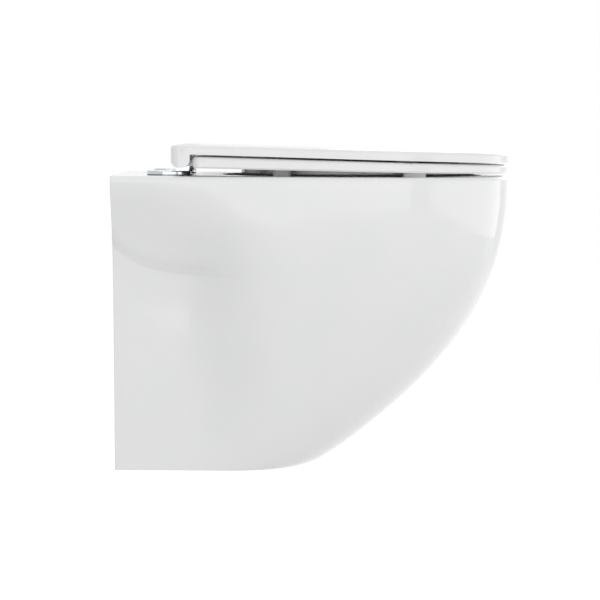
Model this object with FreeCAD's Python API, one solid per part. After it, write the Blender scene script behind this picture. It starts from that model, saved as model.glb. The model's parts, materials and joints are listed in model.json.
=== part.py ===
import FreeCAD
import Part
import math
import os

from FreeCAD import Vector

# A wall hung toilet: a glazed ceramic pan with a hidden trap, a thin seat and lid that turn on one
# pair of hinges, and the soft-close cartridges inside those hinges. Millimetres. X runs across the
# pan, the wall is the plane Y = 0 with the pan in front of it at negative Y, and Z is up. The origin
# is midway between the two wall bolts. "Depth" is the distance below the flat rim of the pan.

# ---- driving dimensions: the pan ----
PAN_LENGTH = 490.0  # wall to nose
PAN_WIDTH = 360.0
PAN_HEIGHT = 366.0  # rim to underside
RIM_ABOVE_BOLTS = 80.0
WALL_TOP_WIDTH = 342.0  # width where the rim meets the wall
WALL_WAIST_WIDTH = 250.0  # width at the wall below the flare
WALL_TAPER = 70.0  # how much narrower the waist is at the underside
FOOT_WIDTH = 184.0  # width of the body at the underside
FOOT_LENGTH = 231.0  # the flat of the underside, from the wall
NOSE_SLOPE = 0.377  # share of the length lost by NOSE_DEPTH
NOSE_DEPTH = 325.0
NOSE_POWER = 2.32
NOSE_CENTRE = 0.58  # where the nose's curve begins, as a share of the reach
NOSE_FULLNESS = 2.4
BODY_POWER = 1.6  # how late the body narrows on its way down
FLARE_DEPTH = 70.0  # how far down the rear flare under the rim reaches, at the wall
FLARE_DEEPENING = 0.22  # and how much deeper per millimetre away from the wall
FLARE_POWER = 1.5  # how abruptly the flare ends, at the wall
FLARE_SHARPENING = 0.009  # and how much more abruptly per millimetre away from it
WAIST_START = 85.0  # the rear waist swells into the body between these two
WAIST_END = 195.0
WAIST_DEPTH = 110.0  # above this depth the swelling spreads out over the whole side
BASE_ROLL = 11.0  # height of the rolled edge of the underside
RIM_ROUNDING = 6.0
CERAMIC = 11.0  # wall of the outer skin
DECK_THICKNESS = 16.0
FLOOR_THICKNESS = 11.0

# ---- driving dimensions: the bowl, its channel, the trap and the two pipes ----
RIM_SIDE = 52.0  # the flat of the rim: beside the bowl, ahead of it and behind it
RIM_FRONT = 38.0
DECK_LENGTH = 135.0
BOWL_REAR_REACH = 140.0  # from the back of the bowl to its widest place
BOWL_DEPTH = 306.0
BOWL_SWEEP = 1.15  # above 1 keeps the bowl's wall upright for longer
OPENING_FULLNESS = 2.2  # 2 makes the bowl and the seat opening ellipses, and more makes them squarer
SUMP_WIDTH = 84.0
SUMP_LENGTH = 74.0
SUMP_OVERLAP = 8.0  # how far the sump reaches behind the place where the trap turns up
BOWL_WALL = 12.0
BOWL_RIM_WALL = 16.0
BOWL_RIM_HEIGHT = 60.0  # the thicker wall thins out over as much again
BOWL_RIM_ROUNDING = 8.0
RIM_MEETING = math.radians(75.0)  # how far the rounding turns before it meets the flat of the rim
CHANNEL_DEPTH = 46.0  # the open water channel round the bowl, below the rim
CHANNEL_HEIGHT = 18.0
CHANNEL_UNDERCUT = 7.0

TRAP_BORE = 74.0
TRAP_WALL = 10.0
TRAP_TURN_UP = 240.0  # from the wall
TRAP_ENTRY = 22.0  # its level length inside the sump
TRAP_LOW_DEPTH = 275.0
TRAP_LOW_RADIUS = 60.0
TRAP_CREST_DEPTH = 148.0
TRAP_CREST_RADIUS = 50.0
OUTLET_BELOW_BOLTS = 100.0
HORN_DIAMETER = 102.0
HORN_BORE = 84.0
HORN_LENGTH = 40.0
HORN_SETBACK = 18.0  # the horn's mouth from the wall

INLET_ABOVE_BOLTS = 35.0
INLET_BORE = 55.0
INLET_WALL = 11.0
INLET_LENGTH = 40.0
INLET_SHOULDER = 1.0  # the step that stops the flush pipe's seal, where the duct begins
INLET_SETBACK = 12.0
SLOT_WIDTH = 104.0
SLOT_HEIGHT = 22.0
SLOT_WALL = 10.0

BOLT_SPACING = 180.0
BOLT_HOLE = 20.0
LUG_THICKNESS = 26.0
LUG_REACH = 26.0  # round the bolt
BUSH_BORE = 12.8
BUSH_FLANGE = 30.0
BUSH_FLANGE_THICKNESS = 3.0
ACCESS_WIDTH = 110.0  # the opening in the underside that the fixings are reached through
ACCESS_FROM = 30.0
ACCESS_TO = 130.0
ACCESS_CORNER = 18.0

# ---- driving dimensions: the hinges ----
HINGE_SPACING = 155.0
FOOT_FROM_WALL = 66.0  # centre of the round foot
AXIS_FROM_WALL = 84.0
AXIS_ABOVE_RIM = 23.5
FOOT_DIAMETER = 55.0
FOOT_THICKNESS = 4.5
FOOT_CHAMFER = 1.2
GASKET_THICKNESS = 1.0
STEM_AHEAD_OF_AXIS = 6.5
STEM_BEHIND_AXIS = 9.0
BARREL_DIAMETER = 22.0
BARREL_LENGTH = 22.0
STEM_SHOULDER = 0.375  # how far up the barrel the stem reaches, as a share of its diameter
CARTRIDGE_DIAMETER = 15.0
CARTRIDGE_LENGTH = 20.0
CARTRIDGE_WALL = 1.2
CARTRIDGE_END = 2.0
PIN_DIAMETER = 8.0
PIN_CHAMFER = 0.6
PIN_END_GAP = 0.5  # between the pin's end and the bottom of the lid's bore
VANE_THICKNESS = 1.6
RIB_ROOT = 0.2  # how far the cartridge's rib runs into its wall
KNUCKLE_DIAMETER = 21.0
KNUCKLE_LENGTH = 8.1
BEARING_DIAMETER = 12.0
LID_BEARING_LENGTH = 12.0
HINGE_SIDE_GAP = 0.4
SCREW_DIAMETER = 6.0
SCREW_HEAD = 10.4
SCREW_HEAD_HEIGHT = 1.6
SCREW_LENGTH = 46.0
DECK_HOLE = 14.0
DOWEL_LENGTH = 34.0
NUT_LENGTH = 8.0
SCREW_SOCKET = 4.0
CAP_DIAMETER = 16.0
CAP_THICKNESS = 1.0

# ---- driving dimensions: the seat and the lid ----
SEAT_INSET = 2.0  # the seat's edge inside the rim's, at the sides and the back
SEAT_NOSE_INSET = 1.0
SEAT_BEHIND = 14.7  # from the hinge axis forward to the seat's rear face
SEAT_TOP_RISE = 0.4  # the seat's rear edge above and below the hinge axis
SEAT_BOTTOM_DROP = 13.6
SEAT_TOP_FALL = 0.0257  # fall per millimetre towards the front
SEAT_BOTTOM_FALL = 0.0175
SEAT_CORNER = 10.0
SEAT_SIDE_BAND = 66.0  # the seat's width beside its opening, ahead of it and behind it
SEAT_FRONT_BAND = 57.0
SEAT_REAR_BAND = 73.0
SEAT_OPENING_REAR_REACH = 113.0
SEAT_DISH = 22.0  # width of the slope round the opening
SEAT_DISH_DEPTH = 4.5
SEAT_HEM_WIDTH = 18.0  # the hem that hangs from the seat round its opening
SEAT_HEM_ABOVE_RIM = 1.8
LID_INSET = 1.5
LID_NOSE_OVERHANG = 0.5
LID_TOP_RISE = 14.0  # the lid's rear edge above the hinge axis
LID_TOP_FALL = 0.0224
LID_SEAT_GAP = 2.4
LID_CORNER = 12.0
LIP_BEHIND_AXIS = 11.5
LIP_AHEAD_OF_AXIS = 11.6
LIP_BELOW_AXIS = 13.3
LIP_ROUNDING = 10.0
LID_POCKET_BORDER = 18.0
LID_POCKET_DEPTH = 5.0
EDGE_ROUNDING = 4.0
UNDER_CHAMFER = 2.0
BRACKET_THICKNESS = 3.4
BRACKET_REACH = 58.0  # ahead of the hinge axis
BRACKET_GUSSET = 3.0  # the thicker root of the plate
BRACKET_SCREWS = ((-12.0, 34.0), (12.0, 34.0), (0.0, 50.0))  # across, and ahead of the axis
SEAT_SCREW_DIAMETER = 4.0
SEAT_SCREW_HEAD = 8.0
SEAT_SCREW_HEAD_HEIGHT = 1.8
SEAT_SCREW_LENGTH = 6.0
FRONT_BUMPER = (23.0, 366.0, 28.0)  # in from the rim's edge, from the wall, length
REAR_BUMPER = (46.0, 206.0, 22.0)
LID_BUMPER = (10.0, 353.0, 22.0)
BUMPER_WIDTH = 9.0
BUMPER_PEG = 4.0
BUMPER_PEG_HEIGHT = 5.0

# ---- clearances ----
RUNNING = 0.05  # radial, pin in bearing and cartridge
SEATED = 0.05  # radial, fixed bush or cartridge in its bore
LOOSE = 0.5  # radial, screw shank in a clearance hole
TIGHT = 0.05  # radial, screw in its pilot hole
NOTCH_GAP = 0.5  # seat knuckle to the notch in the lid
VANE_GAP = 0.15
BRACKET_GAP = 1.0  # the bracket's arms behind the seat's rear face, and its plate in its pocket

BOWL_BACK = DECK_LENGTH
BOWL_FRONT = PAN_LENGTH - RIM_FRONT
BOWL_WIDTH = PAN_WIDTH - 2 * RIM_SIDE
SUMP_BACK = TRAP_TURN_UP - SUMP_OVERLAP
HORN_ROOT = HORN_SETBACK + HORN_LENGTH
SEAT_LENGTH = PAN_LENGTH - SEAT_NOSE_INSET
SEAT_REAR = AXIS_FROM_WALL + SEAT_BEHIND
LID_LENGTH = PAN_LENGTH + LID_NOSE_OVERHANG
LID_REAR = AXIS_FROM_WALL - LIP_BEHIND_AXIS
LIP_FRONT = AXIS_FROM_WALL + LIP_AHEAD_OF_AXIS
RIM = RIM_ABOVE_BOLTS
UNDERSIDE = RIM - PAN_HEIGHT
BEYOND = 20.0  # how far a cutting shape runs past what it cuts
KNUCKLE_REACH = HINGE_SIDE_GAP + KNUCKLE_LENGTH  # from the barrel to the far side of a knuckle
PIN_REACH = KNUCKLE_REACH + NOTCH_GAP + LID_BEARING_LENGTH - PIN_END_GAP  # and to the pin's end
PIN_LENGTH = BARREL_LENGTH + 2 * PIN_REACH
ELLIPSE_EXCESS = 0.01  # keeps an ellipse's wide radius above its high one
AXIS = Vector(0, -AXIS_FROM_WALL, RIM + AXIS_ABOVE_RIM)
X_AXIS = Vector(1, 0, 0)
Y_AXIS = Vector(0, 1, 0)
Z_AXIS = Vector(0, 0, 1)
SIDES = {"left": -1, "right": 1}


def smooth(t):
    t = min(max(t, 0.0), 1.0)
    return t * t * (3 - 2 * t)


def save(shape, node):
    shape.exportStep("parts/" + node + ".step")
    print(node, round(shape.Volume), len(shape.Solids), shape.isValid())


def cylinder_x(radius, start, end, centre=AXIS):
    return Part.makeCylinder(radius, end - start, Vector(start, centre.y, centre.z), X_AXIS)


def cylinder_y(radius, start, end, x, z):
    return Part.makeCylinder(radius, end - start, Vector(x, start, z), Y_AXIS)


def cylinder_z(radius, bottom, top, x, y):
    return Part.makeCylinder(radius, top - bottom, Vector(x, y, bottom), Z_AXIS)


def box(low, high):
    size = [b - a for a, b in zip(low, high)]
    return Part.makeBox(*size, Vector(*low))


def prism_x(outline, start, end):
    """A solid with a closed outline of edges in the YZ plane, from one X to another."""
    face = Part.Face(Part.Wire(outline))
    face.translate(Vector(start, 0, 0))
    return face.extrude(Vector(end - start, 0, 0))


def polygon_x(points, start, end):
    corners = [Vector(0, y, z) for y, z in points]
    return prism_x(Part.makePolygon(corners + corners[:1]).Edges, start, end)


def slot_z(length, width, bottom, top, x, y):
    """An upright oblong: two half rounds joined by flats, long in Y."""
    r = width / 2
    flat = length / 2 - r
    shape = box((x - r, y - flat, bottom), (x + r, y + flat, top))
    for end in (-flat, flat):
        shape = shape.fuse(cylinder_z(r, bottom, top, x, y + end))
    return shape.removeSplitter()


def hexagon_z(radius, bottom, height, x, y):
    turns = [math.pi / 3 * i for i in range(7)]
    corners = [Vector(x + radius * math.cos(a), y + radius * math.sin(a), bottom) for a in turns]
    return Part.Face(Part.makePolygon(corners)).extrude(Vector(0, 0, height))


def round_edges(shape, radius, wanted):
    """Rounds the edges that pass the test."""
    return shape.makeFillet(radius, [e for e in shape.Edges if wanted(e)])


def on_face(height):
    """A test for the edges whose middle lies on a face that slopes down towards the front."""

    def wanted(edge):
        middle = edge.valueAt((edge.FirstParameter + edge.LastParameter) / 2)
        return abs(middle.z - height(-middle.y)) < 0.01

    return wanted


# ---- the pan's skin ----
def nose_reach(depth):
    """How far the skin reaches from the wall on the centre line, at a depth."""
    slope = PAN_LENGTH * (1 - NOSE_SLOPE * (max(depth, 0.0) / NOSE_DEPTH) ** NOSE_POWER)
    foot = PAN_LENGTH * (1 - NOSE_SLOPE * (PAN_HEIGHT / NOSE_DEPTH) ** NOSE_POWER)
    return slope - (foot - FOOT_LENGTH) * base_roll(depth)


def base_roll(depth):
    """0 above the rolled edge of the underside, and 1 at the underside, along a quarter ellipse."""
    s = min(max((depth - PAN_HEIGHT + BASE_ROLL) / BASE_ROLL, 0.0), 1.0)
    return 1 - math.sqrt(1 - s * s)


def wall_half_width(from_wall, depth):
    """Half width of the waist, with the flare that carries it out to the rim."""
    share = depth / PAN_HEIGHT
    waist = (WALL_WAIST_WIDTH - WALL_TAPER * share) / 2
    flare = (WALL_TOP_WIDTH - WALL_WAIST_WIDTH) / 2
    away = max(from_wall, 0.0)
    flare_depth = FLARE_DEPTH + FLARE_DEEPENING * away
    power = FLARE_POWER + FLARE_SHARPENING * away
    return waist + flare * math.exp(-((depth / flare_depth) ** power))


def body_half_width(depth):
    return (PAN_WIDTH - (PAN_WIDTH - FOOT_WIDTH) * (depth / PAN_HEIGHT) ** BODY_POWER) / 2


def nose_curve(from_wall, centre, reach):
    """The narrowing of an outline towards its nose: 1 behind the centre and 0 at the reach."""
    u = min(max((from_wall - centre) / (reach - centre), 0.0), 1.0)
    return math.sqrt(1 - u**NOSE_FULLNESS)


def skin_half_width(from_wall, depth):
    centre = NOSE_CENTRE * nose_reach(depth)
    waisted = smooth(depth / WAIST_DEPTH)
    end = centre + (min(WAIST_END, centre) - centre) * waisted
    start = WAIST_START * min(end / WAIST_END, 1.0) * waisted
    swell = smooth((from_wall - start) / (end - start))
    rear = wall_half_width(from_wall, depth)
    return rear + (body_half_width(depth) - rear) * swell


def outline_stations(centre, reach, start, side_steps=5, nose_steps=6):
    """Distances from the wall at which an outline is given: even along the side, then by angle."""
    side = [start + (centre - start) * i / side_steps for i in range(side_steps)]
    turns = [math.pi / 2 * i / nose_steps for i in range(nose_steps)]
    return side + [centre + (reach - centre) * math.sin(a) for a in turns]


def skin_section(depth, inset):
    """One level section of the skin, moved inwards by a wall thickness, closed behind the wall."""
    step = 0.5
    fall = (nose_reach(depth + step) - nose_reach(depth - step)) / (2 * step)
    reach = nose_reach(depth) - inset * math.sqrt(1 + fall * fall)
    centre = NOSE_CENTRE * nose_reach(depth)
    half = []
    for from_wall in outline_stations(centre, reach, -BEYOND):
        x = (skin_half_width(from_wall, depth) - inset) * nose_curve(from_wall, centre, reach)
        half.append(Vector(x, -from_wall, RIM - depth))
    points = half + [Vector(0, -reach, RIM - depth)] + [Vector(-p.x, p.y, p.z) for p in half[::-1]]
    curve = Part.BSplineCurve()
    curve.interpolate(points)
    return Part.Wire([curve.toShape(), Part.LineSegment(points[-1], points[0]).toShape()])


def skin(inset, top, bottom, steps, roll_steps, ruled):
    """The pan's outer form, or its hollow when there is an inset, between two depths."""
    low = bottom - BASE_ROLL
    depths = [top + (low - top) * i / steps for i in range(steps)]
    turns = [math.pi / 2 * i / roll_steps for i in range(roll_steps + 1)]
    depths += [bottom - BASE_ROLL * (1 - math.sin(turn)) for turn in turns]
    return Part.makeLoft([skin_section(d, inset) for d in depths], True, ruled)


def pan_block():
    block = skin(0, 0, PAN_HEIGHT, 8, 4, False)
    wall = box((-PAN_WIDTH, 0, UNDERSIDE - BEYOND), (PAN_WIDTH, 3 * BEYOND, RIM + BEYOND))
    block = block.cut(wall)
    return round_edges(block, RIM_ROUNDING, lambda e: e.BoundBox.ZMin > RIM - 0.1 and e.BoundBox.YLength > 1)


# ---- the bowl ----
def egg(half_width, front, back, rear_reach, z, offset, seam=0.0):
    """A closed egg-shaped curve in a level plane, moved outwards by an offset, from its seam round."""
    steps = 20
    widest = back + rear_reach

    def squared(value):
        return math.copysign(abs(value) ** (2 / OPENING_FULLNESS), value)

    points = []
    for i in range(steps):
        turn = seam + 2 * math.pi * i / steps
        across, along = squared(math.cos(turn)), squared(math.sin(turn))
        reach = front - widest if along > 0 else rear_reach
        points.append(Vector(across * (half_width + offset), -widest - along * (reach + offset), z))
    curve = Part.BSplineCurve()
    curve.interpolate(Points=points, PeriodicFlag=True)
    return Part.Wire([curve.toShape()])


def bowl_section(depth, offset, seam=0.0):
    """The bowl is upright at its rim, sweeps inwards and ends in the narrow sump."""
    share = min(max(depth / BOWL_DEPTH, 0.0), 1.0)
    open_share = (1 + math.cos(math.pi * share**BOWL_SWEEP)) / 2

    def between(sump, rim):
        return sump + (rim - sump) * open_share

    return egg(
        between(SUMP_WIDTH, BOWL_WIDTH) / 2,
        between(SUMP_BACK + SUMP_LENGTH, BOWL_FRONT),
        between(SUMP_BACK, BOWL_BACK),
        between(SUMP_LENGTH / 2, BOWL_REAR_REACH),
        RIM - depth,
        offset,
        seam,
    )


def bowl_form(offset_at, top, bottom, steps, ruled):
    depths = [top + (bottom - top) * i / steps for i in range(steps + 1)]
    return Part.makeLoft([bowl_section(d, offset_at(d)) for d in depths], True, ruled)


def bowl_outside():
    def wall(depth):
        thinned = smooth((depth - BOWL_RIM_HEIGHT) / BOWL_RIM_HEIGHT)
        return BOWL_RIM_WALL + (BOWL_WALL - BOWL_RIM_WALL) * thinned

    return bowl_form(wall, -BEYOND, BOWL_DEPTH + BOWL_WALL, 5, True)


def bowl_cavity():
    """The bowl below its rounded edge, and that edge, which meets the flat of the rim at an angle."""
    radius = BOWL_RIM_ROUNDING
    steps = 4
    edge = []
    for i in range(steps + 1):
        turn = RIM_MEETING * i / steps
        edge.append(bowl_section(radius * (1 - math.sin(turn)), radius * (1 - math.cos(turn))))
    spread = radius * (1 - math.cos(RIM_MEETING)) + radius * math.tan(RIM_MEETING)
    mouth = bowl_section(-radius * math.sin(RIM_MEETING), spread)
    below = bowl_form(lambda depth: 0.0, radius, BOWL_DEPTH, 7, False)
    return below.fuse([Part.makeLoft(edge, True), Part.makeLoft([edge[-1], mouth], True, True)])


def water_channel():
    """The undercut ring that the flush water runs round in, below a rim without a box."""
    half = CHANNEL_HEIGHT / 2
    sections = [(-half, -1.0), (-half / 2, CHANNEL_UNDERCUT), (half / 2, CHANNEL_UNDERCUT), (half, -1.0)]
    # its seam stays clear of the bowl's
    rings = [bowl_section(CHANNEL_DEPTH + below, offset, math.pi / 4) for below, offset in sections]
    return Part.makeLoft(rings, True, True)


# ---- the trap and the pipes ----
def trap_route():
    """Centre line in the YZ plane: out of the sump, up over the weir, and down to the horn."""

    def point(from_wall, depth):
        return Vector(0, -from_wall, RIM - depth)

    def line(start, end):
        return Part.LineSegment(point(*start), point(*end)).toShape()

    def turn(from_wall, depth, radius, start, end):
        def on(degrees):
            a = math.radians(degrees)
            return point(from_wall, depth) + Vector(0, math.cos(a), math.sin(a)) * radius

        return Part.Arc(on(start), on((start + end) / 2), on(end)).toShape()

    outlet = RIM + OUTLET_BELOW_BOLTS
    rise = TRAP_TURN_UP - TRAP_LOW_RADIUS
    low_top = TRAP_LOW_DEPTH - TRAP_LOW_RADIUS
    crest_foot = TRAP_CREST_DEPTH + TRAP_CREST_RADIUS
    crest = rise - TRAP_CREST_RADIUS
    # two equal bends carry the pipe from the level crest down to the level horn
    run, drop = crest - HORN_ROOT, outlet - TRAP_CREST_DEPTH
    tilt = math.atan2(drop, run)
    bend = math.hypot(run, drop) / 4 / math.sin(tilt)
    turned = math.degrees(2 * tilt)
    return Part.Wire(
        [
            line((TRAP_TURN_UP + TRAP_ENTRY, TRAP_LOW_DEPTH), (TRAP_TURN_UP, TRAP_LOW_DEPTH)),
            turn(TRAP_TURN_UP, low_top, TRAP_LOW_RADIUS, -90, 0),
            line((rise, low_top), (rise, crest_foot)),
            turn(crest, crest_foot, TRAP_CREST_RADIUS, 180, 90),
            turn(crest, TRAP_CREST_DEPTH + bend, bend, 90, 90 - turned),
            turn(HORN_ROOT, outlet - bend, bend, 270 - turned, 270),
            line((HORN_ROOT, outlet), (HORN_ROOT - BEYOND / 2, outlet)),
        ]
    )


def trap_wall():
    """The trap's flat-sided casting, which follows the route in side view and stops at the horn."""
    radius = TRAP_BORE / 2 + TRAP_WALL
    face = Part.Face(trap_route().makeOffset2D(radius))
    face.translate(Vector(-radius, 0, 0))
    casting = face.extrude(Vector(2 * radius, 0, 0))
    past = box((-PAN_WIDTH, -HORN_ROOT, UNDERSIDE), (PAN_WIDTH, 3 * BEYOND, RIM))
    return casting.cut(past)


def trap_passage():
    start = Vector(0, -TRAP_TURN_UP - TRAP_ENTRY, RIM - TRAP_LOW_DEPTH)
    ring = Part.Wire([Part.Circle(start, Y_AXIS, TRAP_BORE / 2).toShape()])
    return trap_route().makePipeShell([ring], True, False)


def horn(diameter, mouth):
    return cylinder_y(diameter / 2, -HORN_ROOT, mouth, 0, -OUTLET_BELOW_BOLTS)


def ellipse_y(half_width, half_height, y, z):
    curve = Part.Ellipse(Vector(half_width, y, z), Vector(0, y, z + half_height), Vector(0, y, z))
    return Part.Wire([curve.toShape()])


def flush_pipe(wall, mouth):
    """The pipe and the duct that flattens it into the slot at the back of the bowl."""
    pipe_end = INLET_SETBACK + INLET_LENGTH
    duct_end = BOWL_BACK + BOWL_RIM_WALL if wall == 0 else BOWL_BACK - 1
    radius = INLET_BORE / 2 + wall
    slot_wall = min(wall, SLOT_WALL)
    pipe = cylinder_y(radius, -pipe_end, mouth, 0, INLET_ABOVE_BOLTS)
    duct = radius - INLET_SHOULDER
    start = ellipse_y(duct + ELLIPSE_EXCESS, duct, INLET_SHOULDER - pipe_end, INLET_ABOVE_BOLTS)
    half_width, half_height = SLOT_WIDTH / 2 + slot_wall, SLOT_HEIGHT / 2 + slot_wall
    end = ellipse_y(half_width, half_height, -duct_end, INLET_ABOVE_BOLTS)
    return pipe.fuse(Part.makeLoft([start, end], True, True))


def bolt_lug(side):
    """A thick ear inside the skin that the wall bolt passes through."""
    x = side * BOLT_SPACING / 2
    ear = cylinder_y(LUG_REACH, -LUG_THICKNESS, BEYOND, x, 0)
    out = side * PAN_WIDTH / 2
    low, high = min(x, out), max(x, out)
    return ear.fuse(box((low, -LUG_THICKNESS, -LUG_REACH), (high, BEYOND, LUG_REACH)))


def access_opening():
    x = ACCESS_WIDTH / 2
    hole = box((-x, -ACCESS_TO, UNDERSIDE - BEYOND), (x, -ACCESS_FROM, UNDERSIDE + 2 * FLOOR_THICKNESS))
    return round_edges(hole, ACCESS_CORNER, lambda e: e.BoundBox.ZLength > 1)


def pan_body():
    """One casting: the skin, and inside it the bowl, trap, flush pipe and bolt lugs, open at the wall."""
    hollow = skin(CERAMIC, DECK_THICKNESS, PAN_HEIGHT - FLOOR_THICKNESS, 6, 2, True)
    walls = [bowl_outside(), trap_wall(), horn(HORN_DIAMETER, -HORN_SETBACK)]
    walls += [flush_pipe(INLET_WALL, -INLET_SETBACK), bolt_lug(-1), bolt_lug(1)]
    for shape in walls:
        hollow = hollow.cut(shape)
    pan = pan_block().cut(hollow)
    voids = [bowl_cavity(), water_channel(), flush_pipe(0, BEYOND), access_opening()]
    voids += [trap_passage(), horn(HORN_BORE, BEYOND)]
    for side in SIDES.values():
        x, y = foot_xy(side)
        voids.append(cylinder_y(BOLT_HOLE / 2, -2 * LUG_THICKNESS, BEYOND, side * BOLT_SPACING / 2, 0))
        voids.append(cylinder_z(DECK_HOLE / 2, RIM - 2 * DECK_THICKNESS, RIM + BEYOND, x, y))
    for shape in voids:
        pan = pan.cut(shape)
    return pan


# ---- the wall fixings ----
def fixing_bushes():
    """Plastic sleeves that centre the wall bolts in the lugs, each with a flange under its nut."""
    bushes = []
    for side in SIDES.values():
        x = side * BOLT_SPACING / 2
        sleeve = cylinder_y(BOLT_HOLE / 2 - SEATED, -LUG_THICKNESS, 0, x, 0)
        flange = cylinder_y(BUSH_FLANGE / 2, -LUG_THICKNESS - BUSH_FLANGE_THICKNESS, -LUG_THICKNESS, x, 0)
        hole = cylinder_y(BUSH_BORE / 2, -2 * LUG_THICKNESS, BEYOND, x, 0)
        bushes.append(sleeve.fuse(flange).removeSplitter().cut(hole))
    return Part.makeCompound(bushes)


# ---- the hinge feet ----
def foot_xy(side):
    return side * HINGE_SPACING / 2, -FOOT_FROM_WALL


def each_side(make):
    return Part.makeCompound([make(side) for side in SIDES.values()])


def barrel_ends(side):
    middle = side * HINGE_SPACING / 2
    return middle - BARREL_LENGTH / 2, middle + BARREL_LENGTH / 2


def foot_gasket(side):
    x, y = foot_xy(side)
    disc = cylinder_z(FOOT_DIAMETER / 2 - 1, RIM, RIM + GASKET_THICKNESS, x, y)
    return disc.cut(cylinder_z(DECK_HOLE / 2, RIM - 1, RIM + BEYOND, x, y))


def hinge_foot(side):
    """A round foot, and a stem that leans out from it to carry the barrel."""
    x, y = foot_xy(side)
    bottom = RIM + GASKET_THICKNESS
    top = bottom + FOOT_THICKNESS
    disc = cylinder_z(FOOT_DIAMETER / 2, bottom, top, x, y)
    disc = disc.makeChamfer(FOOT_CHAMFER, [e for e in disc.Edges if e.BoundBox.ZMin > top - 0.1])
    start, end = barrel_ends(side)
    front, back = AXIS.y - STEM_AHEAD_OF_AXIS, AXIS.y + STEM_BEHIND_AXIS
    shoulder = BARREL_DIAMETER * STEM_SHOULDER
    stem = [
        (front, bottom + 1),
        (back, bottom + 1),
        (back, top + 1),
        (AXIS.y + shoulder, AXIS.z - shoulder / 2),
        (AXIS.y - shoulder, AXIS.z - shoulder / 2),
        (front, top + 1),
    ]
    foot = disc.fuse([polygon_x(stem, start, end), cylinder_x(BARREL_DIAMETER / 2, start, end)])
    foot = foot.removeSplitter()
    head = top - CAP_THICKNESS - SCREW_HEAD_HEIGHT
    foot = foot.cut(cylinder_x(CARTRIDGE_DIAMETER / 2 + SEATED, start - 1, end + 1))
    foot = foot.cut(cylinder_z(CAP_DIAMETER / 2 + SEATED, top - CAP_THICKNESS, top + 1, x, y))
    foot = foot.cut(cylinder_z(SCREW_HEAD / 2 + LOOSE, head, top, x, y))
    return foot.cut(cylinder_z(SCREW_DIAMETER / 2 + LOOSE, bottom - 1, top, x, y))


def foot_cap(side):
    """The thin cover that hides the screw."""
    x, y = foot_xy(side)
    top = RIM + GASKET_THICKNESS + FOOT_THICKNESS
    return cylinder_z(CAP_DIAMETER / 2, top - CAP_THICKNESS, top, x, y)


def foot_screw(side):
    x, y = foot_xy(side)
    under_head = RIM + GASKET_THICKNESS + FOOT_THICKNESS - CAP_THICKNESS - SCREW_HEAD_HEIGHT
    shank = cylinder_z(SCREW_DIAMETER / 2, under_head - SCREW_LENGTH, under_head, x, y)
    head = cylinder_z(SCREW_HEAD / 2, under_head, under_head + SCREW_HEAD_HEIGHT, x, y)
    socket = hexagon_z(SCREW_SOCKET / 2, under_head + SCREW_HEAD_HEIGHT / 4, SCREW_HEAD_HEIGHT, x, y)
    return shank.fuse(head).removeSplitter().cut(socket)


def expansion_dowel(side):
    """A rubber plug that the screw's nut squeezes outwards under the deck."""
    x, y = foot_xy(side)
    plug = cylinder_z(DECK_HOLE / 2 - SEATED, RIM - DOWEL_LENGTH, RIM, x, y)
    return plug.cut(cylinder_z(SCREW_DIAMETER / 2 + LOOSE, RIM - 2 * DOWEL_LENGTH, RIM + 1, x, y))


def dowel_nut(side):
    x, y = foot_xy(side)
    bottom = RIM - DOWEL_LENGTH - NUT_LENGTH
    nut = hexagon_z(DECK_HOLE / 2 - SEATED, bottom, NUT_LENGTH, x, y)
    return nut.cut(cylinder_z(SCREW_DIAMETER / 2 + TIGHT, bottom - 1, RIM, x, y))


# ---- the soft-close cartridges and the pins ----
def chamber_radius():
    return CARTRIDGE_DIAMETER / 2 - CARTRIDGE_WALL


def damper_cartridge(side):
    """A sealed drum in the barrel. Its inner rib and the pin's vane squeeze the grease between them."""
    middle = side * HINGE_SPACING / 2
    start, end = middle - CARTRIDGE_LENGTH / 2, middle + CARTRIDGE_LENGTH / 2
    drum = cylinder_x(CARTRIDGE_DIAMETER / 2, start, end)
    chamber = cylinder_x(chamber_radius(), start + CARTRIDGE_END, end - CARTRIDGE_END)
    bore = cylinder_x(PIN_DIAMETER / 2 + RUNNING, start - 1, end + 1)
    rib = box(
        (start + CARTRIDGE_END, AXIS.y - chamber_radius() - RIB_ROOT, AXIS.z - VANE_THICKNESS / 2),
        (end - CARTRIDGE_END, AXIS.y - PIN_DIAMETER / 2 - VANE_GAP, AXIS.z + VANE_THICKNESS / 2),
    )
    return drum.cut(chamber.cut(rib)).cut(bore)


def hinge_pin(side):
    """The pin and its vane, which stands up when the seat is down."""
    middle = side * HINGE_SPACING / 2
    start, end = middle - PIN_LENGTH / 2, middle + PIN_LENGTH / 2
    pin = cylinder_x(PIN_DIAMETER / 2, start, end)
    pin = pin.makeChamfer(PIN_CHAMFER, [e for e in pin.Edges if e.BoundBox.XLength < 0.01])
    half = CARTRIDGE_LENGTH / 2 - CARTRIDGE_END - VANE_GAP
    vane = box(
        (middle - half, AXIS.y - VANE_THICKNESS / 2, AXIS.z),
        (middle + half, AXIS.y + VANE_THICKNESS / 2, AXIS.z + chamber_radius() - VANE_GAP),
    )
    return pin.fuse(vane).removeSplitter()


def knuckle_spans(side):
    """The two stretches of X that the seat's knuckles fill, either side of the barrel."""
    start, end = barrel_ends(side)
    gap = HINGE_SIDE_GAP
    return [(start - gap - KNUCKLE_LENGTH, start - gap), (end + gap, end + gap + KNUCKLE_LENGTH)]


def notch_span(side):
    spans = knuckle_spans(side)
    return spans[0][0] - NOTCH_GAP, spans[1][1] + NOTCH_GAP


def bearing(start, end):
    tube = cylinder_x(BEARING_DIAMETER / 2 - SEATED, start, end)
    return tube.cut(cylinder_x(PIN_DIAMETER / 2 + RUNNING, start - 1, end + 1))


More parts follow.
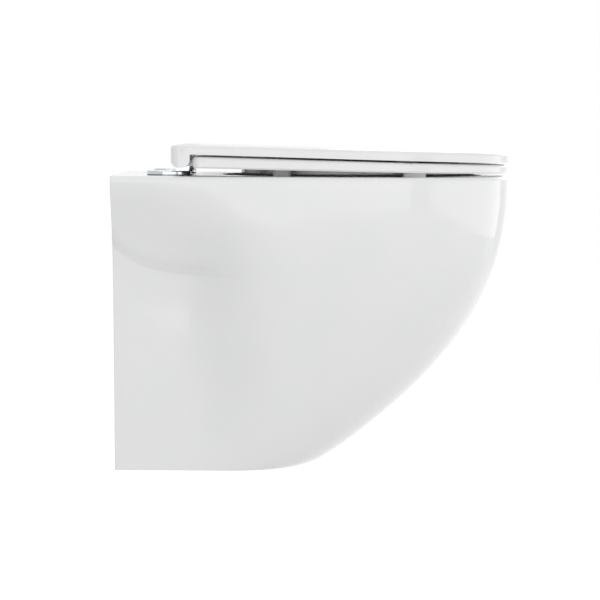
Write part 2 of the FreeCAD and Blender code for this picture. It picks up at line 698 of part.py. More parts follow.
def lid_bearing_spans(side):
    low, high = notch_span(side)
    return [(low - LID_BEARING_LENGTH, low), (high, high + LID_BEARING_LENGTH)]


# ---- the seat ----
def rim_top(from_wall):
    return RIM


def seat_top(from_wall):
    return AXIS.z + SEAT_TOP_RISE - SEAT_TOP_FALL * (from_wall - SEAT_REAR)


def seat_bottom(from_wall):
    return AXIS.z - SEAT_BOTTOM_DROP - SEAT_BOTTOM_FALL * (from_wall - SEAT_REAR)


def seat_middle(from_wall):
    return (seat_top(from_wall) + seat_bottom(from_wall)) / 2


def lid_top(from_wall):
    return AXIS.z + LID_TOP_RISE - LID_TOP_FALL * (from_wall - LID_REAR)


def lid_bottom(from_wall):
    return seat_top(from_wall) + LID_SEAT_GAP


def cover_half_width(from_wall, rear, length, inset):
    """Half width of the seat or the lid, which follow the rim of the pan at an inset."""
    centre = NOSE_CENTRE * PAN_LENGTH
    swell = smooth((from_wall - rear) / (centre - rear))
    width = WALL_TOP_WIDTH + (PAN_WIDTH - WALL_TOP_WIDTH) * swell
    return (width / 2 - inset) * nose_curve(from_wall, centre, length)


def cover_outline(rear, length, corner, inset):
    """The plan of the seat or the lid: a straight back with rounded corners, and the pan's nose."""
    side = rear + corner
    stations = outline_stations(NOSE_CENTRE * PAN_LENGTH, length, side)
    half = [Vector(cover_half_width(s, rear, length, inset), -s, 0) for s in stations]
    points = half + [Vector(0, -length, 0)] + [Vector(-p.x, p.y, 0) for p in half[::-1]]
    nose = Part.BSplineCurve()
    nose.interpolate(points)
    edge = half[0].x
    flat = edge - corner
    diagonal = corner * (1 - math.sqrt(0.5))

    def corner_arc(way):
        middle = Vector(way * (edge - diagonal), -rear - diagonal, 0)
        return Part.Arc(Vector(way * edge, -side, 0), middle, Vector(way * flat, -rear, 0)).toShape()

    back = Part.LineSegment(Vector(-flat, -rear, 0), Vector(flat, -rear, 0)).toShape()
    return Part.Wire(Part.__sortEdges__([nose.toShape(), corner_arc(-1), back, corner_arc(1)]))


def upright(outline, bottom, top):
    face = Part.Face(outline)
    face.translate(Vector(0, 0, bottom))
    return face.extrude(Vector(0, 0, top - bottom))


def on_slope(shape, height, fall, rear):
    """Tilts a level shape about the line where a sloping face has its rear height."""
    shape.translate(Vector(0, 0, height))
    shape.rotate(Vector(0, -rear, height), X_AXIS, math.degrees(math.atan(fall)))
    return shape


def slab(top, bottom, near, far):
    """Everything between two sloping faces, from one distance off the wall to another."""
    corners = [(-near, bottom(near)), (-near, top(near)), (-far, top(far)), (-far, bottom(far))]
    return polygon_x(corners, -PAN_WIDTH, PAN_WIDTH)


def seat_opening(offset, z):
    half_width = PAN_WIDTH / 2 - SEAT_INSET - SEAT_SIDE_BAND
    front, back = SEAT_LENGTH - SEAT_FRONT_BAND, SEAT_REAR + SEAT_REAR_BAND
    return egg(half_width, front, back, SEAT_OPENING_REAR_REACH, z, offset)


def seat_dish():
    """The cone that slopes the seat's top down into its opening, cut a little past both ends."""
    past = 0.2
    inner = seat_opening(-past * SEAT_DISH, -(1 + past) * SEAT_DISH_DEPTH)
    outer = seat_opening((1 + past) * SEAT_DISH, past * SEAT_DISH_DEPTH)
    cone = Part.makeLoft([inner, outer], True)
    return on_slope(cone, seat_top(SEAT_REAR), SEAT_TOP_FALL, SEAT_REAR)


def seat_hem():
    """The hem round the opening, whose lower edge lies level above the rim."""
    bottom, top = RIM + SEAT_HEM_ABOVE_RIM, seat_bottom(SEAT_REAR) + BRACKET_THICKNESS
    hem = Part.makeLoft([seat_opening(SEAT_HEM_WIDTH, z) for z in (bottom, top)], True)
    hem = hem.makeChamfer(UNDER_CHAMFER / 2, [e for e in hem.Edges if e.BoundBox.ZMax < bottom + 0.1])
    return hem.common(slab(seat_middle, rim_top, SEAT_REAR, SEAT_LENGTH))


def seat_ring():
    outline = cover_outline(SEAT_REAR, SEAT_LENGTH, SEAT_CORNER, SEAT_INSET)
    ring = upright(outline, RIM - BEYOND, RIM + 3 * BEYOND)
    ring = ring.common(slab(seat_top, seat_bottom, SEAT_REAR - BEYOND, SEAT_LENGTH + BEYOND))
    ring = round_edges(ring, EDGE_ROUNDING, on_face(seat_top))
    under = on_face(seat_bottom)
    ring = ring.makeChamfer(UNDER_CHAMFER, [e for e in ring.Edges if under(e)])
    hole = Part.makeLoft([seat_opening(0, RIM - BEYOND), seat_opening(0, RIM + 3 * BEYOND)], True)
    ring = ring.fuse(seat_hem()).cut(hole).cut(seat_dish())
    for side in SIDES.values():
        ring = ring.cut(bracket_pocket(side))
    for x, y in seat_screw_places(1) + seat_screw_places(-1):
        pilot = SEAT_SCREW_DIAMETER / 2 + TIGHT
        ring = ring.cut(cylinder_z(pilot, RIM, pocket_roof(-y) + SEAT_SCREW_LENGTH, x, y))
    for place in (FRONT_BUMPER, REAR_BUMPER):
        for side in SIDES.values():
            ring = ring.cut(peg_hole(side, place, seat_bottom))
    return ring


def bumper_x(side, place):
    inset, from_wall = place[:2]
    return side * (cover_half_width(from_wall, SEAT_REAR, PAN_LENGTH, 0) - inset)


def peg_hole(side, place, face):
    from_wall = place[1]
    low, high = face(from_wall) - 1, face(from_wall) + BUMPER_PEG_HEIGHT + LOOSE
    return cylinder_z(BUMPER_PEG / 2 + SEATED, low, high, bumper_x(side, place), -from_wall)


def bumper(side, place, bottom, face):
    """A soft oblong pad with a peg that pushes up into its cover."""
    from_wall, length = place[1:]
    x = bumper_x(side, place)
    pad = slot_z(length, BUMPER_WIDTH, RIM - 1, RIM + 3 * BEYOND, x, -from_wall)
    pad = pad.common(slab(face, bottom, from_wall - length, from_wall + length))
    foot, top = face(from_wall) - 1, face(from_wall) + BUMPER_PEG_HEIGHT
    peg = cylinder_z(BUMPER_PEG / 2, foot, top, x, -from_wall)
    return pad.fuse(peg).removeSplitter()


def pocket_roof(from_wall):
    return seat_bottom(from_wall) + BRACKET_THICKNESS + SEAT_SCREW_HEAD_HEIGHT


def bracket_pocket(side):
    """The recess in the seat's underside that takes the bracket's plate and its screw heads."""
    spans = knuckle_spans(side)
    far = AXIS_FROM_WALL + BRACKET_REACH + BRACKET_GAP
    corners = [(BEYOND - SEAT_REAR, RIM), (BEYOND - SEAT_REAR, pocket_roof(SEAT_REAR - BEYOND))]
    corners += [(-far, pocket_roof(far)), (-far, RIM)]
    return polygon_x(corners, spans[0][0] - BRACKET_GAP, spans[1][1] + BRACKET_GAP)


def seat_bracket(side):
    """The metal fork that joins the seat to its hinge: two knuckles and a plate let into the seat."""
    spans = knuckle_spans(side)
    start, end = spans[0][0], spans[1][1]
    radius = KNUCKLE_DIAMETER / 2
    near, far = SEAT_REAR - BRACKET_GAP, AXIS_FROM_WALL + BRACKET_REACH
    arm = [
        (AXIS.y, AXIS.z - radius),
        (AXIS.y, AXIS.z),
        (AXIS.y - radius, AXIS.z),
        (-near, pocket_roof(near) + BRACKET_GUSSET),
        (-near, pocket_roof(near)),
        (-far, pocket_roof(far)),
        (-far, pocket_roof(far) - BRACKET_THICKNESS),
        (-near + BRACKET_GUSSET, pocket_roof(near) - BRACKET_THICKNESS),
    ]
    bracket = polygon_x(arm, start, end).fuse(cylinder_x(radius, start, end)).removeSplitter()
    between = box((spans[0][1], -near - BRACKET_GAP / 2, RIM), (spans[1][0], BEYOND, RIM + 3 * BEYOND))
    bracket = bracket.cut(between)
    bracket = bracket.cut(cylinder_x(BEARING_DIAMETER / 2, start - 1, end + 1))
    for x, y in seat_screw_places(side):
        bracket = bracket.cut(cylinder_z(SEAT_SCREW_DIAMETER / 2 + LOOSE, RIM, RIM + 2 * BEYOND, x, y))
    return bracket


def seat_screw_places(side):
    middle = side * HINGE_SPACING / 2
    return [(middle + across, AXIS.y - ahead) for across, ahead in BRACKET_SCREWS]


def seat_screw(x, y):
    """A pan-head screw, up through the bracket into the seat."""
    under = pocket_roof(-y + SEAT_SCREW_HEAD / 2) - BRACKET_THICKNESS
    shank = cylinder_z(SEAT_SCREW_DIAMETER / 2, under, pocket_roof(-y) + SEAT_SCREW_LENGTH - 1, x, y)
    head = cylinder_z(SEAT_SCREW_HEAD / 2, under - SEAT_SCREW_HEAD_HEIGHT, under, x, y)
    return shank.fuse(head).removeSplitter()


# ---- the lid ----
def lid_profile():
    """The lid in side view: a thin wedge with a deep rounded lip at the back."""
    back, front = -LID_REAR, -LIP_FRONT
    low, r = AXIS.z - LIP_BELOW_AXIS, LIP_ROUNDING
    diagonal = r * math.sqrt(0.5)
    far = LID_LENGTH + BEYOND
    under = lid_bottom(LIP_FRONT)

    def at(y, z):
        return Vector(0, y, z)

    heel = Part.Arc(at(back, low + r), at(back - r + diagonal, low + r - diagonal), at(back - r, low))
    toe = Part.Arc(at(front + r, low), at(front + r - diagonal, low + r - diagonal), at(front, low + r))
    path = [at(back, low + r), at(back, lid_top(LID_REAR)), at(-far, lid_top(far))]
    path += [at(-far, lid_bottom(far)), at(front, under)]
    lines = [Part.LineSegment(a, b).toShape() for a, b in zip(path, path[1:])]
    lines.append(Part.LineSegment(at(front, under), at(front, low + r)).toShape())
    sole = Part.LineSegment(at(back - r, low), at(front + r, low)).toShape()
    return Part.__sortEdges__(lines + [heel.toShape(), sole, toe.toShape()])


def lid():
    outline = cover_outline(LID_REAR, LID_LENGTH, LID_CORNER, LID_INSET)
    cover = upright(outline, RIM - BEYOND, RIM + 3 * BEYOND)
    cover = cover.common(prism_x(lid_profile(), -PAN_WIDTH, PAN_WIDTH))
    cover = round_edges(cover, EDGE_ROUNDING, on_face(lid_top))
    border = LID_POCKET_BORDER
    inner = cover_outline(LIP_FRONT + border, LID_LENGTH - border, LID_CORNER, LID_INSET + border)
    pocket = upright(inner, -BEYOND, LID_POCKET_DEPTH)
    pocket = on_slope(pocket, lid_bottom(SEAT_REAR), SEAT_TOP_FALL, SEAT_REAR)
    cover = cover.cut(pocket)
    for side in SIDES.values():
        low, high = notch_span(side)
        cover = cover.cut(box((low, -SEAT_REAR, RIM - BEYOND), (high, BEYOND, RIM + 3 * BEYOND)))
        for start, end in lid_bearing_spans(side):
            cover = cover.cut(cylinder_x(BEARING_DIAMETER / 2, start, end))
        cover = cover.cut(peg_hole(side, LID_BUMPER, lid_bottom))
    return cover


def main():
    os.makedirs("parts", exist_ok=True)
    save(pan_body(), "pan_body")
    save(fixing_bushes(), "fixing_bushes")
    save(each_side(foot_gasket), "foot_gaskets")
    save(each_side(foot_cap), "foot_caps")
    save(each_side(foot_screw), "foot_screws")
    save(each_side(expansion_dowel), "expansion_dowels")
    save(each_side(dowel_nut), "dowel_nuts")
    for name, side in SIDES.items():
        save(hinge_foot(side), "hinge_foot_" + name)
        save(damper_cartridge(side), "damper_cartridge_" + name)
        save(hinge_pin(side), "hinge_pin_" + name)
        save(seat_bracket(side), "seat_bracket_" + name)
        save(bumper(side, FRONT_BUMPER, rim_top, seat_bottom), "seat_bumper_front_" + name)
        save(bumper(side, REAR_BUMPER, rim_top, seat_bottom), "seat_bumper_rear_" + name)
        save(bumper(side, LID_BUMPER, seat_top, lid_bottom), "lid_bumper_" + name)
    knuckles = [span for side in SIDES.values() for span in knuckle_spans(side)]
    save(Part.makeCompound([bearing(*span) for span in knuckles]), "seat_bearings")
    lid_spans = [span for side in SIDES.values() for span in lid_bearing_spans(side)]
    save(Part.makeCompound([bearing(*span) for span in lid_spans]), "lid_bearings")
    places = seat_screw_places(-1) + seat_screw_places(1)
    save(Part.makeCompound([seat_screw(*place) for place in places]), "bracket_screws")
    save(seat_ring(), "seat_ring")
    save(lid(), "lid")


main()
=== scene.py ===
import json
import math

import bpy
from mathutils import Matrix, Vector

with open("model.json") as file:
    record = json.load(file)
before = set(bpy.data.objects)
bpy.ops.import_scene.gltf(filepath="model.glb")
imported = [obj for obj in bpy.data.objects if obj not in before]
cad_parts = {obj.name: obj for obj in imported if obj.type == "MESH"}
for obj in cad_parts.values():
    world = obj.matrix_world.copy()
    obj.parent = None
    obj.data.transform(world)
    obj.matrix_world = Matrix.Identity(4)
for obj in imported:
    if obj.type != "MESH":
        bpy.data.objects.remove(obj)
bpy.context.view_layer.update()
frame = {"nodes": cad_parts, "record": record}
nodes = frame["nodes"]
print("frame loaded:", len(nodes), "nodes")


def fromHex(colour):
    # an sRGB hex value as the linear colour that a shader socket takes
    channels = [int(colour[i:i + 2], 16) / 255 for i in (0, 2, 4)]
    linear = [c / 12.92 if c <= 0.04045 else ((c + 0.055) / 1.055) ** 2.4 for c in channels]
    return (*linear, 1.0)


# the photograph is a level side view from about three metres, with the wall on the left
photoCamera = {
    "distance": 3.1,  # from the pan's centre plane
    "fromWall": 0.227,
    "height": 0.139,  # above the wall bolts
    "tiltDown": 4.0,  # degrees
    "roll": 0.25,  # degrees
    "lens": 146.6,  # mm
    "shiftRight": 0.0022,
    "shiftUp": -0.0025,
}


def placeCamera(setup):
    data = bpy.data.cameras.new("photoCamera")
    data.lens = setup["lens"]
    data.shift_x = setup["shiftRight"]
    data.shift_y = setup["shiftUp"]
    camera = bpy.data.objects.new("photoCamera", data)
    bpy.context.scene.collection.objects.link(camera)
    tilt = math.radians(setup["tiltDown"])
    aim = Vector((math.cos(tilt), 0, -math.sin(tilt)))
    turn = aim.to_track_quat("-Z", "Y").to_matrix().to_4x4()
    camera.matrix_world = (
        Matrix.Translation((-setup["distance"], -setup["fromWall"], setup["height"]))
        @ turn
        @ Matrix.Rotation(math.radians(setup["roll"]), 4, "Z")
    )
    bpy.context.scene.camera = camera


placeCamera(photoCamera)
print("camera placed")

# a white tent with large soft boxes, as for a product picture on white
studio = {
    "background": "FFFFFF",
    "ambient": "FFFFFF",
    "ambientStrength": 0.57,
    "backgroundStrength": 1.0,
    "floorColour": "DCDCDC",
    "floorHeight": -0.68,
    "floorSize": 14.0,
    "floorGlow": 0.6,  # what the camera sees of the floor on top of its own light
}

# metres and watts; the box at the nose is wide and low, so that the lid's top doesn't mirror it
softBoxes = {
    "overhead": {
        "at": (-0.3, -0.3, 2.4), "aim": (0, -0.25, 0), "size": (2.6, 2.6), "power": 9.0},
    "cameraSide": {
        "at": (-2.8, -0.3, 0.1), "aim": (0, -0.2, -0.05), "size": (3.6, 2.0), "power": 23.0},
    "noseSide": {
        "at": (0.3, -3.0, -0.05), "aim": (0.3, -0.3, -0.05), "size": (5.4, 1.2), "power": 17.0},
    "farSide": {
        "at": (2.6, -1.2, 1.0), "aim": (0, -0.25, -0.1), "size": (2.0, 1.6), "power": 7.0},
}


def addNode(tree, kind, settings=None, inputs=None):
    # one shader node; an input is a plain value or another node's output
    node = tree.nodes.new(kind)
    for name, value in (settings or {}).items():
        setattr(node, name, value)
    for name, value in (inputs or {}).items():
        socket = node.inputs[name]
        if isinstance(value, bpy.types.NodeSocket):
            tree.links.new(value, socket)
        else:
            socket.default_value = value
    return node


def newTree(name):
    material = bpy.data.materials.new(name)
    material.use_nodes = True
    material.node_tree.nodes.clear()
    return material, material.node_tree


def seenDirectly(tree):
    # 1 for rays from the camera, from gloss and through glass
    path = addNode(tree, "ShaderNodeLightPath")
    mirrored = addNode(tree, "ShaderNodeMath", {"operation": "MAXIMUM"}, {
        0: path.outputs["Is Camera Ray"], 1: path.outputs["Is Glossy Ray"]})
    either = addNode(tree, "ShaderNodeMath", {"operation": "MAXIMUM"}, {
        0: mirrored.outputs[0], 1: path.outputs["Is Transmission Ray"]})
    return either.outputs[0]


def makeBackdrop(setup):
    scene = bpy.context.scene
    scene.view_settings.view_transform = "Standard"
    world = bpy.data.worlds.new("whiteTent")
    world.use_nodes = True
    scene.world = world
    tree = world.node_tree
    tree.nodes.clear()
    ambient = addNode(tree, "ShaderNodeBackground", None, {
        "Color": fromHex(setup["ambient"]), "Strength": setup["ambientStrength"]})
    backdrop = addNode(tree, "ShaderNodeBackground", None, {
        "Color": fromHex(setup["background"]), "Strength": setup["backgroundStrength"]})
    mix = addNode(tree, "ShaderNodeMixShader", None, {
        0: seenDirectly(tree), 1: ambient.outputs[0], 2: backdrop.outputs[0]})
    addNode(tree, "ShaderNodeOutputWorld", None, {"Surface": mix.outputs[0]})


def makeFloor(setup):
    bpy.ops.object.select_all(action="DESELECT")
    bpy.ops.mesh.primitive_plane_add(
        size=setup["floorSize"], location=(0, 0, setup["floorHeight"]))
    floor = bpy.context.object
    floor.name = "floor"
    material, tree = newTree("paleFloor")
    surface = addNode(tree, "ShaderNodeBsdfDiffuse", None, {
        "Color": fromHex(setup["floorColour"])})
    lift = addNode(tree, "ShaderNodeMath", {"operation": "MULTIPLY"}, {
        0: seenDirectly(tree), 1: setup["floorGlow"]})
    glow = addNode(tree, "ShaderNodeEmission", None, {"Strength": lift.outputs[0]})
    both = addNode(tree, "ShaderNodeAddShader", None, {
        0: surface.outputs[0], 1: glow.outputs[0]})
    addNode(tree, "ShaderNodeOutputMaterial", None, {"Surface": both.outputs[0]})
    floor.data.materials.append(material)


def hangSoftBox(name, setup):
    data = bpy.data.lights.new(name, "AREA")
    data.shape = "RECTANGLE"
    data.size, data.size_y = setup["size"]
    data.energy = setup["power"]
    lamp = bpy.data.objects.new(name, data)
    bpy.context.scene.collection.objects.link(lamp)
    place = Vector(setup["at"])
    turn = (Vector(setup["aim"]) - place).to_track_quat("-Z", "Y").to_matrix().to_4x4()
    lamp.matrix_world = Matrix.Translation(place) @ turn


makeBackdrop(studio)
makeFloor(studio)
for boxName, boxSetup in softBoxes.items():
    hangSoftBox(boxName, boxSetup)
print("studio lit:", len(softBoxes), "soft boxes")

# Vitreous china under a fired white glaze. The glaze is a smooth, glossy skin that rolls a little
# where it flowed and pools into faintly cooler patches. The back is ground flat after firing,
# so it shows the bare, matt, cream clay. Under the wide rear of the rim the mould leaves a soft
# crease on each side, which falls away from the wall and dies out where the pan swells.
china = {
    "glaze": "F7F7F7",
    "pooledGlaze": "F2F3F3",
    "bareClay": "DCD6C9",
    "glazeRoughness": 0.12,
    "clayRoughness": 0.75,
    "poolSize": 0.055,
    "poolDetail": 3.0,
    "poolHeight": 0.0002,
    "orangePeel": 0.004,
    "orangePeelDetail": 2.0,
    "orangePeelHeight": 0.000006,
    "clayGrain": 0.0012,
    "clayGrainDetail": 6.0,
    "clayGrainCoarseness": 0.7,
    "clayGrainHeight": 0.0003,
    "groundDepth": 0.0006,  # the ground back lies on the wall, at y = 0
    "surface": {"IOR": 1.52, "Coat Weight": 0.25, "Coat Roughness": 0.03, "Coat IOR": 1.5},
}

# the crease's line starts high at the wall, at y = 0, and falls along an exponential curve
crease = {
    "low": -0.046,  # the height that the line falls to, away from the wall
    "fall": 0.039,  # how much higher it starts
    "run": 0.035,  # how soon it falls
    "below": 0.09,  # the relief reaches this far below the line
    "above": 0.09,  # and this far above it
    "depth": 0.0065,
    # how far the surface stands out, from the bottom of that reach (0) to its top (1)
    "profile": (
        (0.0, 1.0), (0.15, 0.95), (0.3, 0.6), (0.42, 0.42), (0.5, 0.0),
        (0.525, 0.1), (0.585, 0.7), (0.665, 0.95), (1.0, 0.7)),
    "inside": 0.075,  # nearer the centre plane than this is the bowl, which has no relief
    "outside": 0.09,  # the outer sides, beyond this, have all of it
    # how strong the relief is, from the wall (0) to its end (1)
    "end": 0.2,
    "strength": ((0.0, 0.6), (0.25, 0.9), (0.45, 1.0), (0.6, 0.7), (0.8, 0.0), (1.0, 0.0)),
}


def setRamp(ramp, points):
    # a smooth ramp of grey values, given as places and heights
    ramp.color_ramp.interpolation = "B_SPLINE"
    stops = ramp.color_ramp.elements
    while len(stops) < len(points):
        stops.new(0.5)
    for stop, (at, height) in zip(stops, points):
        stop.position = at
        stop.color = (height, height, height, 1.0)


def creasedSurface(tree, axes, look):
    # the line's height at each distance from the wall, and the profile by height above it
    away = addNode(tree, "ShaderNodeMath", {"operation": "DIVIDE"}, {
        0: axes.outputs["Y"], 1: look["run"]})
    fallen = addNode(tree, "ShaderNodeMath", {"operation": "EXPONENT"}, {0: away.outputs[0]})
    line = addNode(tree, "ShaderNodeMath", {"operation": "MULTIPLY_ADD"}, {
        0: fallen.outputs[0], 1: look["fall"], 2: look["low"]})
    above = addNode(tree, "ShaderNodeMath", {"operation": "SUBTRACT"}, {
        0: axes.outputs["Z"], 1: line.outputs[0]})
    across = addNode(tree, "ShaderNodeMapRange", None, {
        "Value": above.outputs[0], "From Min": -look["below"], "From Max": look["above"]})
    profile = addNode(tree, "ShaderNodeValToRGB", None, {"Fac": across.outputs[0]})
    setRamp(profile, look["profile"])

    # it fades out away from the wall, and the bowl inside has none of it
    along = addNode(tree, "ShaderNodeMapRange", None, {
        "Value": axes.outputs["Y"], "From Min": 0.0, "From Max": -look["end"]})
    strength = addNode(tree, "ShaderNodeValToRGB", None, {"Fac": along.outputs[0]})
    setRamp(strength, look["strength"])
    stand = addNode(tree, "ShaderNodeMath", {"operation": "SUBTRACT"}, {
        0: profile.outputs["Color"], 1: 1.0})
    relief = addNode(tree, "ShaderNodeMath", {"operation": "MULTIPLY"}, {
        0: stand.outputs[0], 1: strength.outputs["Color"]})
    aside = addNode(tree, "ShaderNodeMath", {"operation": "ABSOLUTE"}, {0: axes.outputs["X"]})
    outside = addNode(tree, "ShaderNodeMapRange", {"interpolation_type": "SMOOTHSTEP"}, {
        "Value": aside.outputs[0], "From Min": look["inside"], "From Max": look["outside"]})
    return addNode(tree, "ShaderNodeBump", None, {
        "Height": relief.outputs[0], "Distance": look["depth"], "Strength": outside.outputs[0]})


def glazedChina(look, creaseLook):
    material, tree = newTree("glazedVitreousChina")
    place = addNode(tree, "ShaderNodeTexCoord").outputs["Object"]
    axes = addNode(tree, "ShaderNodeSeparateXYZ", None, {0: place})
    bare = addNode(tree, "ShaderNodeMapRange", None, {
        "Value": axes.outputs["Y"],
        "From Min": -look["groundDepth"], "From Max": -look["groundDepth"] / 2})
    pools = addNode(tree, "ShaderNodeTexNoise", None, {
        "Vector": place, "Scale": 1 / look["poolSize"], "Detail": look["poolDetail"]})
    peel = addNode(tree, "ShaderNodeTexNoise", None, {
        "Vector": place, "Scale": 1 / look["orangePeel"], "Detail": look["orangePeelDetail"]})
    grain = addNode(tree, "ShaderNodeTexNoise", None, {
        "Vector": place, "Scale": 1 / look["clayGrain"],
        "Detail": look["clayGrainDetail"], "Roughness": look["clayGrainCoarseness"]})

    glaze = addNode(tree, "ShaderNodeMix", {"data_type": "RGBA"}, {
        0: pools.outputs["Fac"], 6: fromHex(look["glaze"]), 7: fromHex(look["pooledGlaze"])})
    colour = addNode(tree, "ShaderNodeMix", {"data_type": "RGBA"}, {
        0: bare.outputs[0], 6: glaze.outputs[2], 7: fromHex(look["bareClay"])})
    roughness = addNode(tree, "ShaderNodeMapRange", None, {
        "Value": bare.outputs[0],
        "To Min": look["glazeRoughness"], "To Max": look["clayRoughness"]})

    creased = creasedSurface(tree, axes, creaseLook)
    rolled = addNode(tree, "ShaderNodeBump", None, {
        "Height": pools.outputs["Fac"], "Distance": look["poolHeight"],
        "Normal": creased.outputs[0]})
    peeled = addNode(tree, "ShaderNodeBump", None, {
        "Height": peel.outputs["Fac"], "Distance": look["orangePeelHeight"],
        "Normal": rolled.outputs[0]})
    grained = addNode(tree, "ShaderNodeBump", None, {
        "Height": grain.outputs["Fac"], "Distance": look["clayGrainHeight"],
        "Strength": bare.outputs[0], "Normal": peeled.outputs[0]})
    shader = addNode(tree, "ShaderNodeBsdfPrincipled", None, {
        **look["surface"], "Base Color": colour.outputs[2],
        "Roughness": roughness.outputs[0], "Normal": grained.outputs[0]})
    addNode(tree, "ShaderNodeOutputMaterial", None, {"Surface": shader.outputs[0]})
    return material


# Duroplast, a urea thermoset pressed in a polished mould: as white as the glaze but a shade
# softer in its gloss, with the faint flow of the powder under the surface.
duroplast = {
    "name": "pressedDuroplast",
    "colour": "F6F6F6",
    "shade": "F1F1F2",
    "patch": 0.03,
    "patchDetail": 5.0,
    "roughness": (0.15, 0.21),
    "skin": 0.012,
    "skinHeight": 0.00002,
    "surface": {"IOR": 1.55, "Coat Weight": 0.15, "Coat Roughness": 0.06},
}

# Bright chrome plate over a zinc casting: a cool mirror, hazed in places by water and wiping,
# with a trace of the casting's ripple beneath.
chrome = {
    "name": "brightChromePlate",
    "colour": "CDD0D3",
    "shade": "B9BDC1",
    "patch": 0.004,
    "patchDetail": 4.0,
    "roughness": (0.04, 0.12),
    "skin": 0.006,
    "skinHeight": 0.00001,
    "surface": {"Metallic": 1.0},
}

# EPDM rubber, moulded: a deep grey-black with the pale bloom that comes out of the rubber.
rubber = {
    "name": "mouldedEpdmRubber",
    "colour": "232324",
    "shade": "38383A",
    "patch": 0.004,
    "patchDetail": 5.0,
    "roughness": (0.55, 0.8),
    "skin": 0.0006,
    "skinHeight": 0.00003,
    "surface": {"IOR": 1.52},
}

# The soft thermoplastic elastomer of the pads: milky, with a satin skin that lets light through.
elastomer = {
    "name": "milkyElastomer",
    "colour": "F0F1F1",
    "shade": "E2E4E5",
    "patch": 0.005,
    "patchDetail": 3.0,
    "roughness": (0.35, 0.5),
    "skin": 0.0008,
    "skinHeight": 0.00003,
    "surface": {
        "IOR": 1.5, "Subsurface Weight": 0.3, "Subsurface Radius": (0.006, 0.006, 0.006),
        "Transmission Weight": 0.1},
}

# The pads between the lid and the seat: the same elastomer, its colour darkened to a near-black
# that is painted shade from the narrow gap they sit in, and it lets no light through.
paintedShadeElastomer = {
    **elastomer,
    "name": "paintedShadePadElastomer",
    "colour": "343536",
    "shade": "262728",
    "surface": {"IOR": 1.5},
}

# Natural nylon, injection moulded: a waxy off-white with a spark-eroded skin.
nylon = {
    "name": "mouldedNylon",
    "colour": "E4E2DA",
    "shade": "D6D3C8",
    "patch": 0.006,
    "patchDetail": 3.0,
    "roughness": (0.4, 0.55),
    "skin": 0.0005,
    "skinHeight": 0.00002,
    "surface": {
        "IOR": 1.53, "Subsurface Weight": 0.1, "Subsurface Radius": (0.002, 0.002, 0.0015)},
}

# Stainless steel, stamped from sheet and left with its rolled grain, which runs along the sheet.
# The real grain is 0.1 mm wide, too fine to show, so it is drawn as coarse as it needs to be.
steel = {
    "name": "stampedStainlessSteel",
    "colour": "9B9C9E",
    "shade": "C4C5C6",
    "patch": 0.0016,
    "patchDetail": 4.0,
    "grainRun": (1.0, 1 / 14, 1.0),
    "roughness": (0.42, 0.24),
    "skin": 0.0009,
    "skinHeight": 0.00002,
    "surface": {"Metallic": 1.0},
}

# Free-cutting brass, turned on a lathe: warm, a little tarnished, with the tool's fine rings.
brass = {
    "name": "turnedBrass",
    "colour": "D9B25F",
    "shade": "A9843F",
    "patch": 0.005,
    "patchDetail": 4.0,
    "roughness": (0.22, 0.45),
    "skin": 0.0012,
    "skinHeight": 0.00002,
    "toolRing": 0.0008,
    "toolRingHeight": 0.0008 / 30,
    "surface": {"Metallic": 1.0},
}


evenGrain = (1.0, 1.0, 1.0)
skinDetail = 2.0


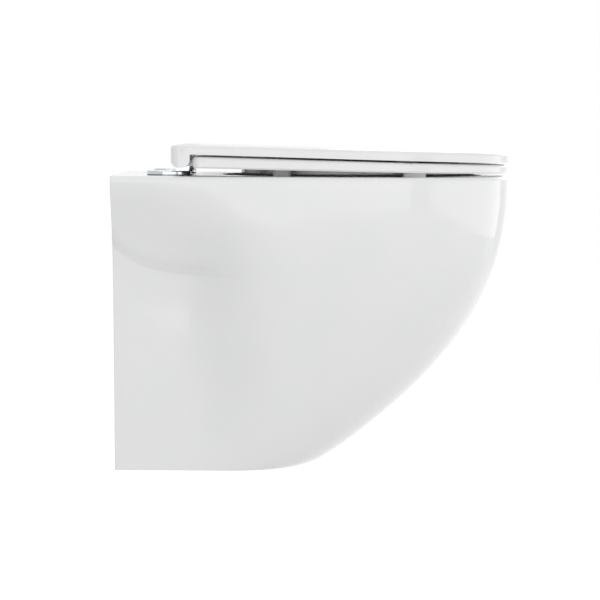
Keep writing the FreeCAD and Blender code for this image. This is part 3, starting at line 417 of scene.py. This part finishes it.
def makeFinish(look):
    # patches tint the surface and vary its gloss, and the skin is its finest relief; all of them
    # are stretched along the grain, where there is one
    material, tree = newTree(look["name"])
    place = addNode(tree, "ShaderNodeTexCoord")
    run = addNode(tree, "ShaderNodeMapping", None, {
        "Vector": place.outputs["Object"], "Scale": look.get("grainRun", evenGrain)})
    patches = addNode(tree, "ShaderNodeTexNoise", None, {
        "Vector": run.outputs[0], "Scale": 1 / look["patch"], "Detail": look["patchDetail"]})
    skin = addNode(tree, "ShaderNodeTexNoise", None, {
        "Vector": run.outputs[0], "Scale": 1 / look["skin"], "Detail": skinDetail})
    colour = addNode(tree, "ShaderNodeMix", {"data_type": "RGBA"}, {
        0: patches.outputs["Fac"], 6: fromHex(look["colour"]), 7: fromHex(look["shade"])})
    smooth, rough = look["roughness"]
    gloss = addNode(tree, "ShaderNodeMapRange", None, {
        "Value": patches.outputs["Fac"], "To Min": smooth, "To Max": rough})
    relief = addNode(tree, "ShaderNodeBump", None, {
        "Height": skin.outputs["Fac"], "Distance": look["skinHeight"]})
    if "toolRing" in look:
        # a wave texture repeats every pi / 10 at a scale of 1
        rings = addNode(tree, "ShaderNodeTexWave", {"bands_direction": "Z"}, {
            "Vector": place.outputs["Object"], "Scale": math.pi / 10 / look["toolRing"]})
        relief = addNode(tree, "ShaderNodeBump", None, {
            "Height": rings.outputs["Fac"], "Distance": look["toolRingHeight"],
            "Normal": relief.outputs[0]})
    shader = addNode(tree, "ShaderNodeBsdfPrincipled", None, {
        **look["surface"], "Base Color": colour.outputs[2],
        "Roughness": gloss.outputs[0], "Normal": relief.outputs[0]})
    addNode(tree, "ShaderNodeOutputMaterial", None, {"Surface": shader.outputs[0]})
    return material


finishes = {
    "ceramic": glazedChina(china, crease),
    "duroplast": makeFinish(duroplast),
    "chrome": makeFinish(chrome),
    "steel": makeFinish(steel),
    "brass": makeFinish(brass),
    "rubber": makeFinish(rubber),
    "bumper": makeFinish(elastomer),
    # the lid pads' copy of the elastomer, darkened with painted shade
    "darkBumper": makeFinish(paintedShadeElastomer),
    "nylon": makeFinish(nylon),
}
print("finishes made:", len(finishes))

# a CAD node's triangles come loose, so each is welded by a modifier and shaded smooth up to the
# angle from which its edges are real ones
meshing = {
    "weldWithin": 0.00001,
    "smoothBelow": {"ceramic": 32, "duroplast": 32},  # degrees
    "otherwise": 28,
}

# each piece has the finish of its material slot, apart from the lid's pads, whose finish is
# darkened with painted shade
finishOfNode = {part["node"]: part["material_slot"] for part in frame["record"]["subparts"]}
finishOfNode.update({"lid_bumper_left": "darkBumper", "lid_bumper_right": "darkBumper"})


def dressNode(name, setup):
    piece = nodes[name]
    finishName = finishOfNode[name]
    piece.data.materials.clear()
    piece.data.materials.append(finishes[finishName])
    for polygon in piece.data.polygons:
        polygon.use_smooth = True
    weld = piece.modifiers.new("weld", "WELD")
    weld.merge_threshold = setup["weldWithin"]
    split = piece.modifiers.new("hardEdges", "EDGE_SPLIT")
    smoothBelow = setup["smoothBelow"].get(finishName, setup["otherwise"])
    split.split_angle = math.radians(smoothBelow)
    split.use_edge_sharp = False


for nodeName in sorted(nodes):
    dressNode(nodeName, meshing)
print("finishes on:", len(nodes), "pieces")
